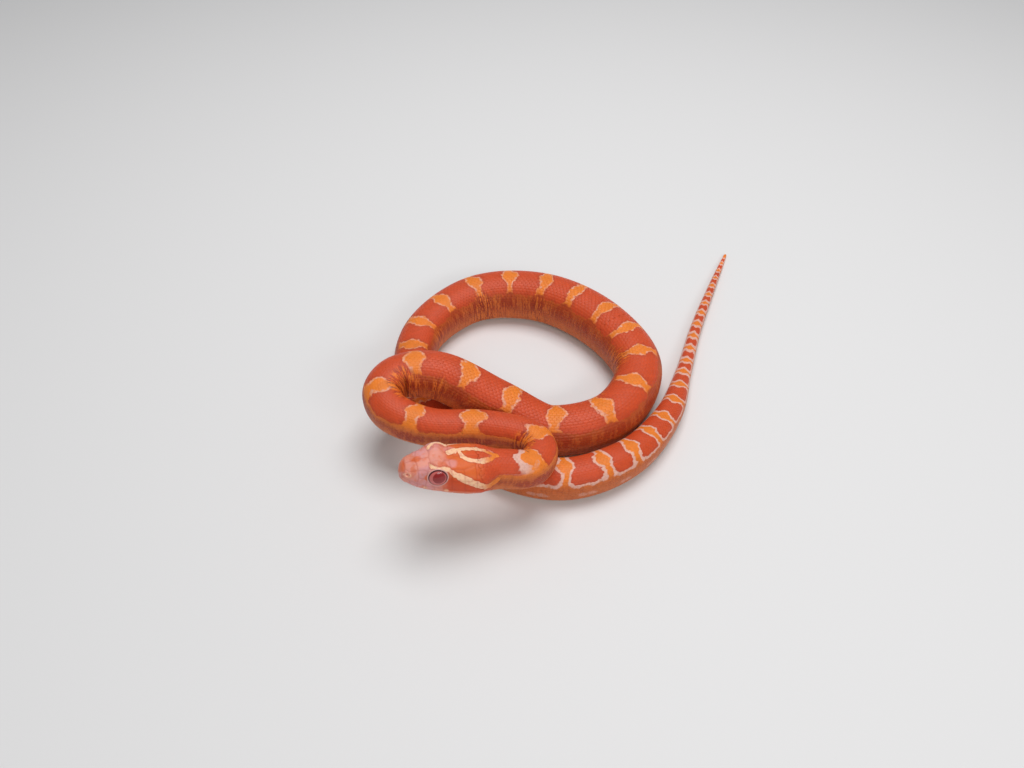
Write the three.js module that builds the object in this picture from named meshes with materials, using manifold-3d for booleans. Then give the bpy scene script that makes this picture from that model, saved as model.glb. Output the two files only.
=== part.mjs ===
// A young corn snake, life size, coiled on a flat surface with its neck folded over its own body.
// Units are millimetres, +Z is up, and the floor is the plane z = 0. Left is the snake's own left.
import * as THREE from "three";
import { mergeVertices } from "three/addons/utils/BufferGeometryUtils.js";
import Module from "manifold-3d";

const wasm = await Module();
wasm.setup();

// Gap kept between two pieces that touch in life.
const PIECE_GAP = 0.3;

// The spine from the back of the head to the tip of the tail: x, y, and the height of the belly.
const WAY_POINTS = [
  [-11.4, -26.7, 7.3],
  [-7.2, -25.8, 6.4],
  [-5.9, -23.2, 6.2],
  [-7.1, -20.7, 6.2],
  [-13.0, -18.9, 6.2],
  [-20.8, -18.8, 6.3],
  [-26.0, -16.7, 6.9],
  [-27.4, -13.7, 7.1],
  [-25.8, -10.8, 7.1],
  [-20.3, -9.7, 6.4],
  [-11.9, -12.1, 2.9],
  [-3.4, -14.9, 0.0],
  [4.9, -12.1, 0.0],
  [9.7, -2.7, 0.0],
  [5.0, 7.7, 0.0],
  [-4.8, 14.8, 0.0],
  [-15.9, 14.6, 0.0],
  [-23.9, 6.0, 0.0],
  [-24.3, -4.6, 0.0],
  [-18.7, -14.3, 0.0],
  [-10.5, -21.2, 0.0],
  [-2.1, -23.1, 0.0],
  [6.6, -19.3, 0.0],
  [13.4, -10.8, 0.0],
  [17.4, -0.7, 0.0],
  [20.9, 9.4, 0.0],
  [25.3, 20.1, 0.0],
  [30.3, 31.7, 0.0],
];
// Over this height a lifted stretch comes down to the floor in a smooth curve.
const LANDING_EASE = 0.3;
const SPINE_STEPS = 1600;

// Width of the body at shares of the whole length from the snout.
const GIRTH = [
  [0.0, 5.1],
  [0.055, 5.0],
  [0.085, 4.8],
  [0.11, 4.85],
  [0.155, 5.2],
  [0.185, 5.8],
  [0.215, 6.6],
  [0.25, 7.0],
  [0.31, 7.1],
  [0.36, 7.2],
  [0.4, 7.7],
  [0.45, 8.1],
  [0.49, 7.9],
  [0.54, 7.1],
  [0.58, 6.4],
  [0.64, 5.85],
  [0.75, 5.6],
  [0.79, 4.8],
  [0.83, 3.6],
  [0.862, 2.5],
  [0.93, 1.7],
  [0.973, 1.1],
  [1.0, 0.5],
];
const HEIGHT_SHARE = 0.94;
const SECTION_POWER = 2.15;
const BODY_SIDES = 16;
// On the inside of a bend the skin stays this share of the bend's radius from its centre line.
const BEND_REACH = 0.85;

// Belly plates: their length along the body, the part of it that steps in, and the depth of the step.
const SCUTE_PITCH = 2.3;
const SCUTE_STEP_SHARE = 0.25;
const SCUTE_DEPTH = 0.13;
const SCUTE_PER_BEND_RADIUS = 0.42;

// Lengths of the body, each with the share of the whole length where it ends.
const LENGTHS = [
  ["neck", 0.118],
  ["forebody_front", 0.172],
  ["forebody_bend", 0.226],
  ["forebody_rear", 0.3],
  ["midbody_front", 0.37],
  ["midbody_middle", 0.44],
  ["midbody_rear", 0.51],
  ["hindbody_front", 0.58],
  ["hindbody_middle", 0.66],
  ["hindbody_rear", 0.745],
  ["vent_length", 0.832],
  ["tail_base", 0.905],
  ["tail_tip", 1.0],
];

// Head sizes, at shares of the head's length from the snout: half width, height above and depth below the axis.
const HEAD_LENGTH = 12.6;
const HEAD_PROFILE = [
  [0.0, 0.8, 0.55, 0.6],
  [0.013, 1.25, 0.95, 0.95],
  [0.057, 1.65, 1.35, 1.25],
  [0.16, 2.3, 2.0, 1.6],
  [0.3, 2.7, 2.42, 1.85],
  [0.4, 2.87, 2.52, 2.0],
  [0.52, 3.2, 2.55, 2.2],
  [0.68, 3.45, 2.55, 2.35],
  [0.8, 3.4, 2.5, 2.4],
  [0.88, 3.1, 2.42, 2.4],
  [0.96, 2.75, 2.37, 2.37],
  [1.0, 2.6, 2.37, 2.37],
];
const HEAD_RINGS = 24;
const HEAD_SIDES = 26;
// How boxy the head is in section, and how much boxier it is between the eyes.
const HEAD_POWER = 2.3;
const BROW_POWER = 0.6;
const EYE = { at: 0.352, side: 2.0, up: 1.15, radius: 1.33, depth: 0.92, tilt: 12 };
const BROW = { at: 0.36, side: 1.75, up: 2.2, length: 1.7, width: 0.6, height: 0.38 };
const NOSTRIL = { at: 0.07, side: 1.66, up: 0.4, radius: 0.2 };
// The line of the mouth: share of the head's length, height from the axis.
const MOUTH = [
  [-0.05, -0.4],
  [0.06, -0.46],
  [0.2, -0.72],
  [0.4, -0.98],
  [0.6, -0.85],
  [0.76, -0.95],
  [0.86, -1.3],
];
const MOUTH_REACH = 6;

const materials = {
  skin: new THREE.MeshStandardMaterial({ color: 0xce5830, roughness: 0.5, metalness: 0 }),
  head: new THREE.MeshStandardMaterial({ color: 0xdd8466, roughness: 0.45, metalness: 0 }),
  eye: new THREE.MeshStandardMaterial({ color: 0xa02a24, roughness: 0.12, metalness: 0 }),
};

// Value at x on a smooth curve through [x, value] rows that never overshoots them.
function smoothTable(rows, column = 1) {
  const x = rows.map((r) => r[0]);
  const y = rows.map((r) => r[column]);
  const slope = x.slice(1).map((b, i) => (y[i + 1] - y[i]) / (b - x[i]));
  const at = y.map((_, i) => {
    if (i === 0) return slope[0];
    if (i === y.length - 1) return slope[i - 1];
    const [a, b] = [slope[i - 1], slope[i]];
    return a * b <= 0 ? 0 : (2 * a * b) / (a + b);
  });
  return (u) => {
    const v = THREE.MathUtils.clamp(u, x[0], x[x.length - 1]);
    let i = x.findIndex((b, k) => k > 0 && v <= b) - 1;
    i = Math.max(0, i);
    const h = x[i + 1] - x[i];
    const t = (v - x[i]) / h;
    const t2 = t * t;
    const t3 = t2 * t;
    return (
      y[i] * (2 * t3 - 3 * t2 + 1) +
      h * at[i] * (t3 - 2 * t2 + t) +
      y[i + 1] * (3 * t2 - 2 * t3) +
      h * at[i + 1] * (t3 - t2)
    );
  };
}

const girthAt = smoothTable(GIRTH);

// Height of the belly over the floor, with a lifted stretch eased down on to it.
function easedLift(lift) {
  if (lift <= 0) return 0;
  return lift < 2 * LANDING_EASE ? (lift * lift) / (4 * LANDING_EASE) : lift - LANDING_EASE;
}

// The spine as evenly spaced stations: place, share of the whole length, direction, up, bend.
function makeSpine() {
  const curve = new THREE.CatmullRomCurve3(
    WAY_POINTS.map((p) => new THREE.Vector3(...p)),
    false,
    "centripetal",
  );
  const raw = Array.from({ length: SPINE_STEPS + 1 }, (_, i) => curve.getPoint(i / SPINE_STEPS));
  const measure = (points) => {
    const along = [0];
    points.forEach((p, i) => i && along.push(along[i - 1] + p.distanceTo(points[i - 1])));
    return along;
  };
  let along = measure(raw);
  const whole = HEAD_LENGTH + along[SPINE_STEPS];
  raw.forEach((p, i) => {
    const share = (HEAD_LENGTH + along[i]) / whole;
    p.z = easedLift(p.z) + (HEIGHT_SHARE / 2) * girthAt(share);
  });
  along = measure(raw);
  return { raw, along, length: along[SPINE_STEPS] };
}

const spine = makeSpine();
const WHOLE_LENGTH = HEAD_LENGTH + spine.length;

function pointAlong(distance) {
  const { raw, along } = spine;
  const d = THREE.MathUtils.clamp(distance, 0, spine.length);
  let low = 0;
  let high = along.length - 1;
  while (high - low > 1) {
    const middle = (low + high) >> 1;
    if (along[middle] <= d) low = middle;
    else high = middle;
  }
  const t = (d - along[low]) / (along[high] - along[low]);
  return raw[low].clone().lerp(raw[high], t);
}

// The frame of the body at a distance along the spine: across, along and up, with its bend.
function frameAlong(distance) {
  const reach = 0.6;
  const before = pointAlong(distance - reach);
  const after = pointAlong(distance + reach);
  const place = pointAlong(distance);
  const direction = after.clone().sub(before).normalize();
  const up = new THREE.Vector3(0, 0, 1);
  up.addScaledVector(direction, -up.dot(direction)).normalize();
  const across = direction.clone().cross(up);
  const ahead = pointAlong(distance + 2 * reach).sub(place).normalize();
  const behind = place.clone().sub(pointAlong(distance - 2 * reach)).normalize();
  const turn = ahead.sub(behind).divideScalar(2 * reach);
  return { place, direction, up, across, turn };
}

// A closed tube: a unit cylinder whose rings are carried to the given stations.
function carriedTube(rings, sides, placeVertex) {
  const half = Math.PI / sides;
  const geometry = new THREE.CylinderGeometry(1, 1, 1, sides, rings - 1, false, half);
  geometry.deleteAttribute("normal");
  geometry.deleteAttribute("uv");
  const merged = mergeVertices(geometry, 1e-5);
  const position = merged.getAttribute("position");
  for (let i = 0; i < position.count; i++) {
    const [x, y, z] = [position.getX(i), position.getY(i), position.getZ(i)];
    const ring = Math.round((y + 0.5) * (rings - 1));
    const onAxis = Math.hypot(x, z) < 0.5;
    const p = placeVertex(ring, onAxis ? null : Math.atan2(x, z));
    position.setXYZ(i, p.x, p.y, p.z);
  }
  return merged;
}

function toSolid(geometry) {
  return new wasm.Manifold(
    new wasm.Mesh({
      numProp: 3,
      vertProperties: new Float32Array(geometry.getAttribute("position").array),
      triVerts: new Uint32Array(geometry.index.array),
    }),
  );
}

// The largest closed surface of a solid, which drops loose scraps and fills sealed hollows.
function largest(solid) {
  const bodies = solid.decompose();
  return bodies.reduce((best, b) => (b.volume() > best.volume() ? b : best), bodies[0]);
}

function toMesh(name, solid, material) {
  const got = largest(solid).getMesh();
  const geometry = new THREE.BufferGeometry();
  geometry.setAttribute("position", new THREE.BufferAttribute(got.vertProperties, 3));
  geometry.setIndex(new THREE.BufferAttribute(got.triVerts, 1));
  geometry.computeVertexNormals();
  const mesh = new THREE.Mesh(geometry, material);
  mesh.name = name;
  return mesh;
}

// A rounded section: how far it reaches from its centre at an angle from straight up.
function sectionOffset(angle, halfWidth, above, below, power) {
  const s = Math.sin(angle);
  const c = Math.cos(angle);
  const reach = (Math.abs(s) ** power + Math.abs(c) ** power) ** (-1 / power);
  return { side: halfWidth * s * reach, up: (c > 0 ? above : below) * c * reach };
}

// Stations of one length of the body, in pairs: the back edge of a belly plate and the step behind it.
function bodyStations(start, end) {
  const stations = [];
  let d = start;
  while (d < end) {
    stations.push({ distance: d, step: 0 });
    const bend = frameAlong(d).turn.length();
    const slim = 0.45 * girthAt((HEAD_LENGTH + d) / WHOLE_LENGTH) + 0.4;
    const pitch = Math.min(SCUTE_PITCH, slim, SCUTE_PER_BEND_RADIUS / Math.max(bend, 1e-3));
    if (d + 1.4 * pitch > end) break;
    stations.push({ distance: d + SCUTE_STEP_SHARE * pitch, step: SCUTE_DEPTH });
    d += pitch;
  }
  stations.push({ distance: end, step: 0 });
  return stations;
}

function bodyVertex(station, angle) {
  const { place, up, across, turn } = frameAlong(station.distance);
  if (angle === null) return place;
  const width = girthAt((HEAD_LENGTH + station.distance) / WHOLE_LENGTH);
  const half = (HEIGHT_SHARE / 2) * width;
  const offset = sectionOffset(angle, width / 2, half, half, SECTION_POWER);
  const flat = Math.abs(Math.abs(angle) - Math.PI) < 1.1 * (Math.PI / BODY_SIDES);
  const onPlateEdge = !flat && Math.cos(angle) < -0.3;
  const shrink = onPlateEdge ? 1 - Math.min(station.step, 0.04 * width) / (width / 2) : 1;
  const reach = across.clone().multiplyScalar(offset.side * shrink);
  const bend = turn.length();
  if (bend > 1e-4) {
    const inward = turn.clone().divideScalar(bend);
    const c = reach.dot(inward);
    const limit = BEND_REACH / bend;
    if (c > 0) reach.addScaledVector(inward, c / (1 + (c / limit) ** 4) ** 0.25 - c);
  }
  const p = place.clone().add(reach);
  return p.addScaledVector(up, flat ? -half : offset.up * shrink);
}

function bodyLength(name, start, end) {
  const stations = bodyStations(start, end);
  const tube = carriedTube(stations.length, BODY_SIDES, (ring, angle) =>
    bodyVertex(stations[ring], angle),
  );
  return toMesh(name, toSolid(tube), materials.skin);
}

// The head's own frame: x forward from the back of the head, y to the snake's left, z up.
function headFrame() {
  const { place, direction, up } = frameAlong(0);
  const forward = direction.clone().negate();
  const left = up.clone().cross(forward);
  return new THREE.Matrix4().makeBasis(forward, left, up).setPosition(place);
}

const headX = (share) => HEAD_LENGTH * (1 - share);

function headForm() {
  const [halfWidth, above, below] = [1, 2, 3].map((column) => smoothTable(HEAD_PROFILE, column));
  const shareOf = (ring) => 0.12 * (ring / 6) ** 2 * (ring <= 6 ? 1 : 0) + rearShare(ring);
  const rearShare = (ring) => (ring > 6 ? 0.12 + (0.88 * (ring - 6)) / (HEAD_RINGS - 7) : 0);
  return toSolid(
    carriedTube(HEAD_RINGS, HEAD_SIDES, (ring, angle) => {
      const share = shareOf(ring);
      const x = Math.max(headX(share), PIECE_GAP / 2);
      if (angle === null) return new THREE.Vector3(x + (ring === 0 ? 0.12 : 0), 0, 0);
      const power = HEAD_POWER + BROW_POWER * Math.exp(-(((share - EYE.at) / 0.2) ** 2));
      const o = sectionOffset(angle, halfWidth(share), above(share), below(share), power);
      return new THREE.Vector3(x, o.side, o.up);
    }),
  );
}

// A ball or egg in the head's frame, turned about the head's axis by a tilt in degrees.
function ball(share, side, up, radii, detail = 14, tilt = 0) {
  const geometry = new THREE.SphereGeometry(1, detail, Math.round(detail * 0.7));
  geometry.deleteAttribute("normal");
  geometry.deleteAttribute("uv");
  geometry.scale(...radii);
  geometry.rotateX(THREE.MathUtils.degToRad(tilt));
  geometry.translate(headX(share), side, up);
  return toSolid(mergeVertices(geometry, 1e-5));
}

// A slab across the whole head between two lines of the side view, in the head's frame.
function slab(upper, lower) {
  const outline = new THREE.Shape();
  upper.forEach(([x, z], i) => (i ? outline.lineTo(x, z) : outline.moveTo(x, z)));
  lower.forEach(([x, z]) => outline.lineTo(x, z));
  const geometry = new THREE.ExtrudeGeometry(outline, {
    depth: 2 * MOUTH_REACH,
    bevelEnabled: false,
  });
  geometry.translate(0, 0, -MOUTH_REACH);
  geometry.rotateX(Math.PI / 2);
  geometry.deleteAttribute("normal");
  geometry.deleteAttribute("uv");
  return toSolid(mergeVertices(geometry, 1e-5));
}

function headPieces() {
  const mouthLine = MOUTH.map(([share, z]) => [headX(share), z]);
  const corner = mouthLine[mouthLine.length - 1][0];
  const floorBelow = -MOUTH_REACH;
  const below = (gap) => {
    const line = mouthLine.map(([x, z]) => [x, z - gap]);
    line[line.length - 1][0] = corner + gap;
    return slab(line, [
      [corner + gap, floorBelow],
      [headX(-0.05), floorBelow],
    ]);
  };
  const eyeball = (side, gap) => {
    const [r, depth] = [EYE.radius + gap, EYE.depth + gap];
    return ball(EYE.at, side * EYE.side, EYE.up, [r, depth, r], 20, side * EYE.tilt);
  };
  let whole = headForm();
  for (const side of [-1, 1]) {
    const browRadii = [BROW.length, BROW.width, BROW.height];
    whole = whole.add(ball(BROW.at, side * BROW.side, BROW.up, browRadii, 14));
    const hole = NOSTRIL.radius;
    whole = whole.subtract(ball(NOSTRIL.at, side * NOSTRIL.side, NOSTRIL.up, [hole, hole, hole], 8));
  }
  whole = whole.subtract(eyeball(-1, PIECE_GAP)).subtract(eyeball(1, PIECE_GAP));
  const head = whole.subtract(below(0));
  const jaw = whole.intersect(below(PIECE_GAP));
  const made = [
    toMesh("head", head, materials.head),
    toMesh("lower_jaw", jaw, materials.head),
    toMesh("eye_right", eyeball(-1, 0), materials.eye),
    toMesh("eye_left", eyeball(1, 0), materials.eye),
  ];
  const group = new THREE.Group();
  group.add(...made);
  group.applyMatrix4(headFrame());
  return group;
}

const snake = new THREE.Group();
snake.add(headPieces());
let start = PIECE_GAP / 2;
for (const [name, share] of LENGTHS) {
  const end = Math.min(share * WHOLE_LENGTH - HEAD_LENGTH, spine.length);
  const last = share === 1;
  snake.add(bodyLength(name, start, last ? end : end - PIECE_GAP / 2));
  start = end + PIECE_GAP / 2;
}

export default snake;
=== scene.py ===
"""A life-size young corn snake, resting in a loose coil: skin, scales, belly plates, eyes and stage."""

import math

import bmesh
import bpy
import numpy as np
from mathutils import Matrix, Vector


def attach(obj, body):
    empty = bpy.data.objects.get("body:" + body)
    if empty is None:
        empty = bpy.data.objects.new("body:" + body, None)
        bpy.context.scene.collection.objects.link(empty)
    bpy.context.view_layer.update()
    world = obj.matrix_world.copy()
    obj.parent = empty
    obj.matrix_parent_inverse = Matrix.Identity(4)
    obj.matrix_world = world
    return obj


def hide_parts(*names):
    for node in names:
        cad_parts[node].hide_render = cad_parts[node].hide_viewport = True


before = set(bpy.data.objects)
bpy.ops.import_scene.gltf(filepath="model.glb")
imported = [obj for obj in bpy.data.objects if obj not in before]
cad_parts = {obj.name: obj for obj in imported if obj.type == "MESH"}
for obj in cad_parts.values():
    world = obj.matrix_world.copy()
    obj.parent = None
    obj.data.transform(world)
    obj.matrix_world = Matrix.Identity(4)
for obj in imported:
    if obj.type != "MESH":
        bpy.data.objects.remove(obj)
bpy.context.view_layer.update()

bl_info = {
    "name": "Corn Snake",
    "version": (1, 0, 0),
    "blender": (4, 5, 0),
    "location": "3D View > Sidebar > Corn Snake",
    "description": "Builds the skin, scales, eyes and stage of a coiled young corn snake",
    "category": "Add Mesh",
}

MM = 0.001

# The spine from the back of the head to the tip of the tail: x, y and the height of the belly, in mm.
WAY_POINTS = [
    (-11.4, -26.8, 7.3), (-7.2, -25.8, 6.4), (-5.9, -23.2, 6.2), (-7.1, -20.7, 6.2),
    (-13.0, -18.9, 6.2), (-20.8, -18.8, 6.3), (-26.0, -16.7, 6.9), (-27.4, -13.7, 7.1),
    (-25.8, -10.8, 7.1), (-20.3, -9.7, 6.4), (-11.9, -12.1, 2.9), (-3.4, -14.9, 0.0),
    (4.9, -12.1, 0.0), (9.7, -2.7, 0.0), (5.0, 7.7, 0.0), (-4.8, 14.8, 0.0),
    (-15.9, 14.6, 0.0), (-23.9, 6.0, 0.0), (-24.3, -4.6, 0.0), (-18.7, -14.3, 0.0),
    (-10.5, -21.2, 0.0), (-2.1, -23.1, 0.0), (6.6, -19.3, 0.0), (13.4, -10.8, 0.0),
    (17.4, -0.7, 0.0), (20.9, 9.4, 0.0), (25.3, 20.1, 0.0), (30.3, 31.7, 0.0),
]
# How softly a lifted stretch comes down to the floor, in mm.
LANDING_EASE = 0.3
# Width of the body at shares of the whole length from the snout, in mm.
GIRTH = [
    (0.0, 5.1), (0.055, 5.0), (0.085, 4.8), (0.11, 4.85), (0.155, 5.2),
    (0.185, 5.8), (0.215, 6.6), (0.25, 7.0), (0.31, 7.1), (0.36, 7.2),
    (0.4, 7.7), (0.45, 8.1), (0.49, 7.9), (0.54, 7.1), (0.58, 6.4),
    (0.64, 5.85), (0.75, 5.6), (0.79, 4.8), (0.83, 3.6), (0.862, 2.5),
    (0.93, 1.7), (0.973, 1.1), (1.0, 0.5),
]
# Height of the body as a share of its width, and how boxy its back and belly are in section.
HEIGHT_SHARE = 0.94
BACK_POWER = 2.15
BELLY_POWER = 2.9
# How far the flesh reaches into the inside of a bend, as a share of the bend's radius.
BEND_REACH = 0.85

# The head, in mm: share of its length from the snout, half width, height above and depth below the middle,
# and the height of the middle, which starts at the line of the mouth.
HEAD_LENGTH = 12.6
HEAD_PROFILE = [
    (0.0, 0.05, 0.05, 0.05, -0.42),
    (0.004, 0.62, 0.42, 0.32, -0.4),
    (0.013, 1.12, 0.95, 0.55, -0.32),
    (0.03, 1.42, 1.22, 0.82, -0.22),
    (0.057, 1.66, 1.4, 1.08, -0.12),
    (0.1, 1.93, 1.62, 1.33, -0.04),
    (0.16, 2.3, 2.0, 1.6, 0.0),
    (0.3, 2.7, 2.42, 1.85, 0.0),
    (0.4, 2.87, 2.52, 2.0, 0.0),
    (0.52, 3.2, 2.53, 2.16, 0.0),
    (0.68, 3.45, 2.53, 2.32, 0.0),
    (0.8, 3.35, 2.48, 2.37, 0.0),
    (0.86, 3.08, 2.44, 2.38, 0.0),
    (0.91, 2.84, 2.41, 2.38, 0.0),
    (0.95, 2.67, 2.39, 2.38, 0.0),
    (0.98, 2.57, 2.375, 2.375, 0.0),
    (1.0, 2.54, 2.37, 2.37, 0.0),
]
# How boxy the head is in section, and how much boxier it is between the eyes.
HEAD_POWER = 2.3
BROW_POWER = 0.6
# The line of the mouth: share of the head's length, height from the middle line of the head in mm.
MOUTH_LINE = [
    (0.0, -0.42), (0.06, -0.5), (0.2, -0.78), (0.4, -1.02),
    (0.6, -0.9), (0.76, -0.98), (0.9, -1.4), (1.0, -1.6),
]
# Its share of the way round from the crown, and where its corner lies along the head.
MOUTH_AT = 0.62
MOUTH_CORNER = 0.84
# Where the eyes lie along the head.
EYE_AT = 0.352

# Where the orange gaps between the saddles lie, in mm behind the head.
GAPS = (
    4.4, 8.6, 18.8, 26.6, 32.7, 39.4, 46.4, 53.7, 61.3, 68.3, 75.5, 82.1, 87.0, 92.3, 98.5, 104.1,
    110.2, 116.4, 122.9, 128.6, 133.8, 139.4, 145.2, 151.2, 157.4, 163.5, 169.4, 174.9, 179.6, 184.0,
    188.2, 192.6, 196.6, 199.9, 202.9, 206.0, 209.4, 212.8, 216.1, 219.0, 221.8, 224.5, 227.2, 229.8,
)
# The count of saddles at the back of the head, where the first gap behind it counts as 0.
NAPE = -0.55


def smooth_table(rows, at, column=1):
    """Value at a place on a smooth curve through the rows that never overshoots them."""
    x = np.array([row[0] for row in rows], dtype=float)
    y = np.array([row[column] for row in rows], dtype=float)
    rise = np.diff(y) / np.diff(x)
    slope = np.zeros_like(y)
    slope[0], slope[-1] = rise[0], rise[-1]
    both = rise[:-1] * rise[1:]
    total = rise[:-1] + rise[1:]
    slope[1:-1] = np.where(both > 0, 2 * both / np.where(both > 0, total, 1), 0)
    u = np.clip(at, x[0], x[-1])
    i = np.clip(np.searchsorted(x, u) - 1, 0, len(x) - 2)
    h = x[i + 1] - x[i]
    t = (u - x[i]) / h
    value = y[i] * (2 * t**3 - 3 * t**2 + 1) + y[i + 1] * (3 * t**2 - 2 * t**3)
    return value + h * (slope[i] * (t**3 - 2 * t**2 + t) + slope[i + 1] * (t**3 - t**2))


def ease(low, high, value):
    """0 below low, 1 above high, smooth between."""
    t = np.clip((value - low) / (high - low), 0, 1)
    return t * t * (3 - 2 * t)


def bell(distance, width):
    return np.exp(-((distance / width) ** 2))


def unit(vectors):
    return vectors / np.maximum(np.linalg.norm(vectors, axis=-1, keepdims=True), 1e-9)


def steps_along(points):
    return np.concatenate(([0], np.cumsum(np.linalg.norm(np.diff(points, axis=0), axis=1))))


def rounded_path(points, steps):
    """A centripetal Catmull-Rom curve through the points."""
    ends = np.vstack([2 * points[0] - points[1], points, 2 * points[-1] - points[-2]])
    spans = len(points) - 1
    u = np.linspace(0, spans, steps + 1)
    i = np.minimum(u.astype(int), spans - 1)
    w = (u - i)[:, None]
    a, b, c, d = (ends[i + k] for k in range(4))
    gap = [np.sum((q - p) ** 2, axis=1)[:, None] ** 0.25 for p, q in ((a, b), (b, c), (c, d))]
    leave = ((b - a) / gap[0] - (c - a) / (gap[0] + gap[1]) + (c - b) / gap[1]) * gap[1]
    reach = ((c - b) / gap[1] - (d - b) / (gap[1] + gap[2]) + (d - c) / gap[2]) * gap[1]
    bend = (-3 * b + 3 * c - 2 * leave - reach) * w**2 + (2 * b - 2 * c + leave + reach) * w**3
    return b + leave * w + bend


class Spine:
    """The middle line of the neck, body and tail, in mm."""

    def __init__(self, steps=1600):
        path = rounded_path(np.array(WAY_POINTS), steps)
        along = steps_along(path)
        whole = HEAD_LENGTH + along[-1]
        lift = path[:, 2]
        landing = lift * lift / (4 * LANDING_EASE)
        lift = np.where(lift < 2 * LANDING_EASE, landing, lift - LANDING_EASE)
        lift[path[:, 2] <= 0] = 0
        width = smooth_table(GIRTH, (HEAD_LENGTH + along) / whole)
        path[:, 2] = lift + HEIGHT_SHARE / 2 * width
        self.path = path
        self.along = steps_along(path)
        self.length = self.along[-1]
        self.whole = HEAD_LENGTH + self.length

    def point(self, distance):
        d = np.clip(distance, 0, self.length)
        return np.stack([np.interp(d, self.along, self.path[:, k]) for k in range(3)], axis=-1)

    def width(self, distance):
        return smooth_table(GIRTH, (HEAD_LENGTH + distance) / self.whole)

    def lie(self, distance, reach=0.6):
        """Place, direction towards the tail, up, the snake's left, and how the spine turns."""
        place = self.point(distance)
        direction = unit(self.point(distance + reach) - self.point(distance - reach))
        up = unit(np.array([0.0, 0.0, 1.0]) - direction * direction[..., 2:3])
        left = np.cross(direction, up)
        ahead = unit(self.point(distance + 2 * reach) - place)
        behind = unit(place - self.point(distance - 2 * reach))
        return place, direction, up, left, (ahead - behind) / (2 * reach)


spine = Spine()


def rounded_section(angle, half_width, above, below, top_power, low_power):
    """Sideways and upward reach of a rounded section at an angle from straight up, and its normal."""
    s, c = np.sin(angle), np.cos(angle)
    power = np.where(c > 0, top_power, low_power)
    deep = np.where(c > 0, above, below)
    reach = (np.abs(s) ** power + np.abs(c) ** power) ** (-1 / power)
    normal_side = np.sign(s) * np.abs(s * reach) ** (power - 1) / half_width
    normal_up = np.sign(c) * np.abs(c * reach) ** (power - 1) / deep
    size = np.hypot(normal_side, normal_up)
    return half_width * s * reach, deep * c * reach, normal_side / size, normal_up / size


def body_surface(distance, around, height):
    """Points on the body: mm behind the head, share of the way round from the back, mm off the skin."""
    place, _, up, left, turn = spine.lie(distance)
    width = spine.width(distance)
    half = HEIGHT_SHARE / 2 * width
    angle = around * math.pi
    side, rise, out_side, out_up = rounded_section(angle, width / 2, half, half, BACK_POWER, BELLY_POWER)
    reach = left * (side + height * out_side)[..., None]
    bend = np.linalg.norm(turn, axis=-1)
    inward = turn / np.maximum(bend, 1e-6)[..., None]
    c = np.sum(reach * inward, axis=-1)
    limit = BEND_REACH / np.maximum(bend, 1e-6)
    held = np.where(c > 0, c / (1 + (np.maximum(c, 0) / limit) ** 4) ** 0.25, c)
    reach = reach + inward * (held - c)[..., None]
    return place + reach + up * (rise + height * out_up)[..., None]


def fold_of(distance, around):
    """How much the skin is squeezed at a place, on the inside of a bend: 0 for not at all."""
    _, _, up, left, turn = spine.lie(np.maximum(distance, 0))
    turn = turn * np.array([1.0, 1.0, 0.0])
    angle = (around * math.pi)[:, None]
    out = left * np.sin(angle) + up * np.cos(angle)
    return np.sum(out * turn, axis=-1) * spine.width(np.maximum(distance, 0)) / 2 * (distance > 0)


# The head's own frame, in the part's: x forward from its back, y left and z up.
HEAD_PLACE, BACKWARDS, UPWARDS, LEFTWARDS, _ = spine.lie(np.array(0.0))
HEAD_AXES = np.stack([-BACKWARDS, LEFTWARDS, UPWARDS])


def place_head(points):
    return points @ HEAD_AXES + HEAD_PLACE


def head_power(share):
    return HEAD_POWER + BROW_POWER * bell(share - EYE_AT, 0.2)


def head_angle(share, around):
    """The angle of a place on the head, spread so that MOUTH_AT always lies on the line of the mouth."""
    middle = smooth_table(HEAD_PROFILE, share, 4)
    below = smooth_table(HEAD_PROFILE, share, 3)
    drop = np.clip((middle - smooth_table(MOUTH_LINE, share)) / below, 0, 0.92)
    power = head_power(share)
    mouth = np.arctan2((1 - drop**power) ** (1 / power), -drop)
    t = np.abs(around)
    off = t - MOUTH_AT
    # The skin's lengthwise lines crowd together beside the mouth.
    off = off * (1 - 0.6 * bell(off, 0.05))
    upper = mouth * (1 + off / MOUTH_AT)
    lower = mouth + (math.pi - mouth) * off / (1 - MOUTH_AT)
    angle = np.where(off < 0, upper, lower)
    return np.sign(around) * (angle + (math.pi * t - angle) * ease(0.84, 1.0, share))


def head_surface(share, around, height):
    """Points on the head in its own frame, with the normal of its section."""
    half_width, above, below, middle = (smooth_table(HEAD_PROFILE, share, k) for k in (1, 2, 3, 4))
    angle = head_angle(share, around)
    power = head_power(share)
    rear = ease(0.85, 1.0, share)
    low_power = power + (BELLY_POWER - power) * rear
    power = power + (BACK_POWER - power) * rear
    side, rise, out_side, out_up = rounded_section(angle, half_width, above, below, power, low_power)
    normal = np.stack([np.zeros_like(side), out_side, out_up], axis=-1)
    point = np.stack([HEAD_LENGTH * (1 - share), side, rise + middle], axis=-1)
    # At the tip of the snout the skin faces forwards.
    blunt = ease(0.06, 0.0, share)[..., None]
    normal = unit(normal * (1 - 0.8 * blunt) + np.array([0.9, 0.0, 0.0]) * blunt)
    return point + normal * height[..., None], normal


# The length behind the head over which the form of the head passes into the neck, in mm.
NECK_BLEND = 1.2


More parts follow.
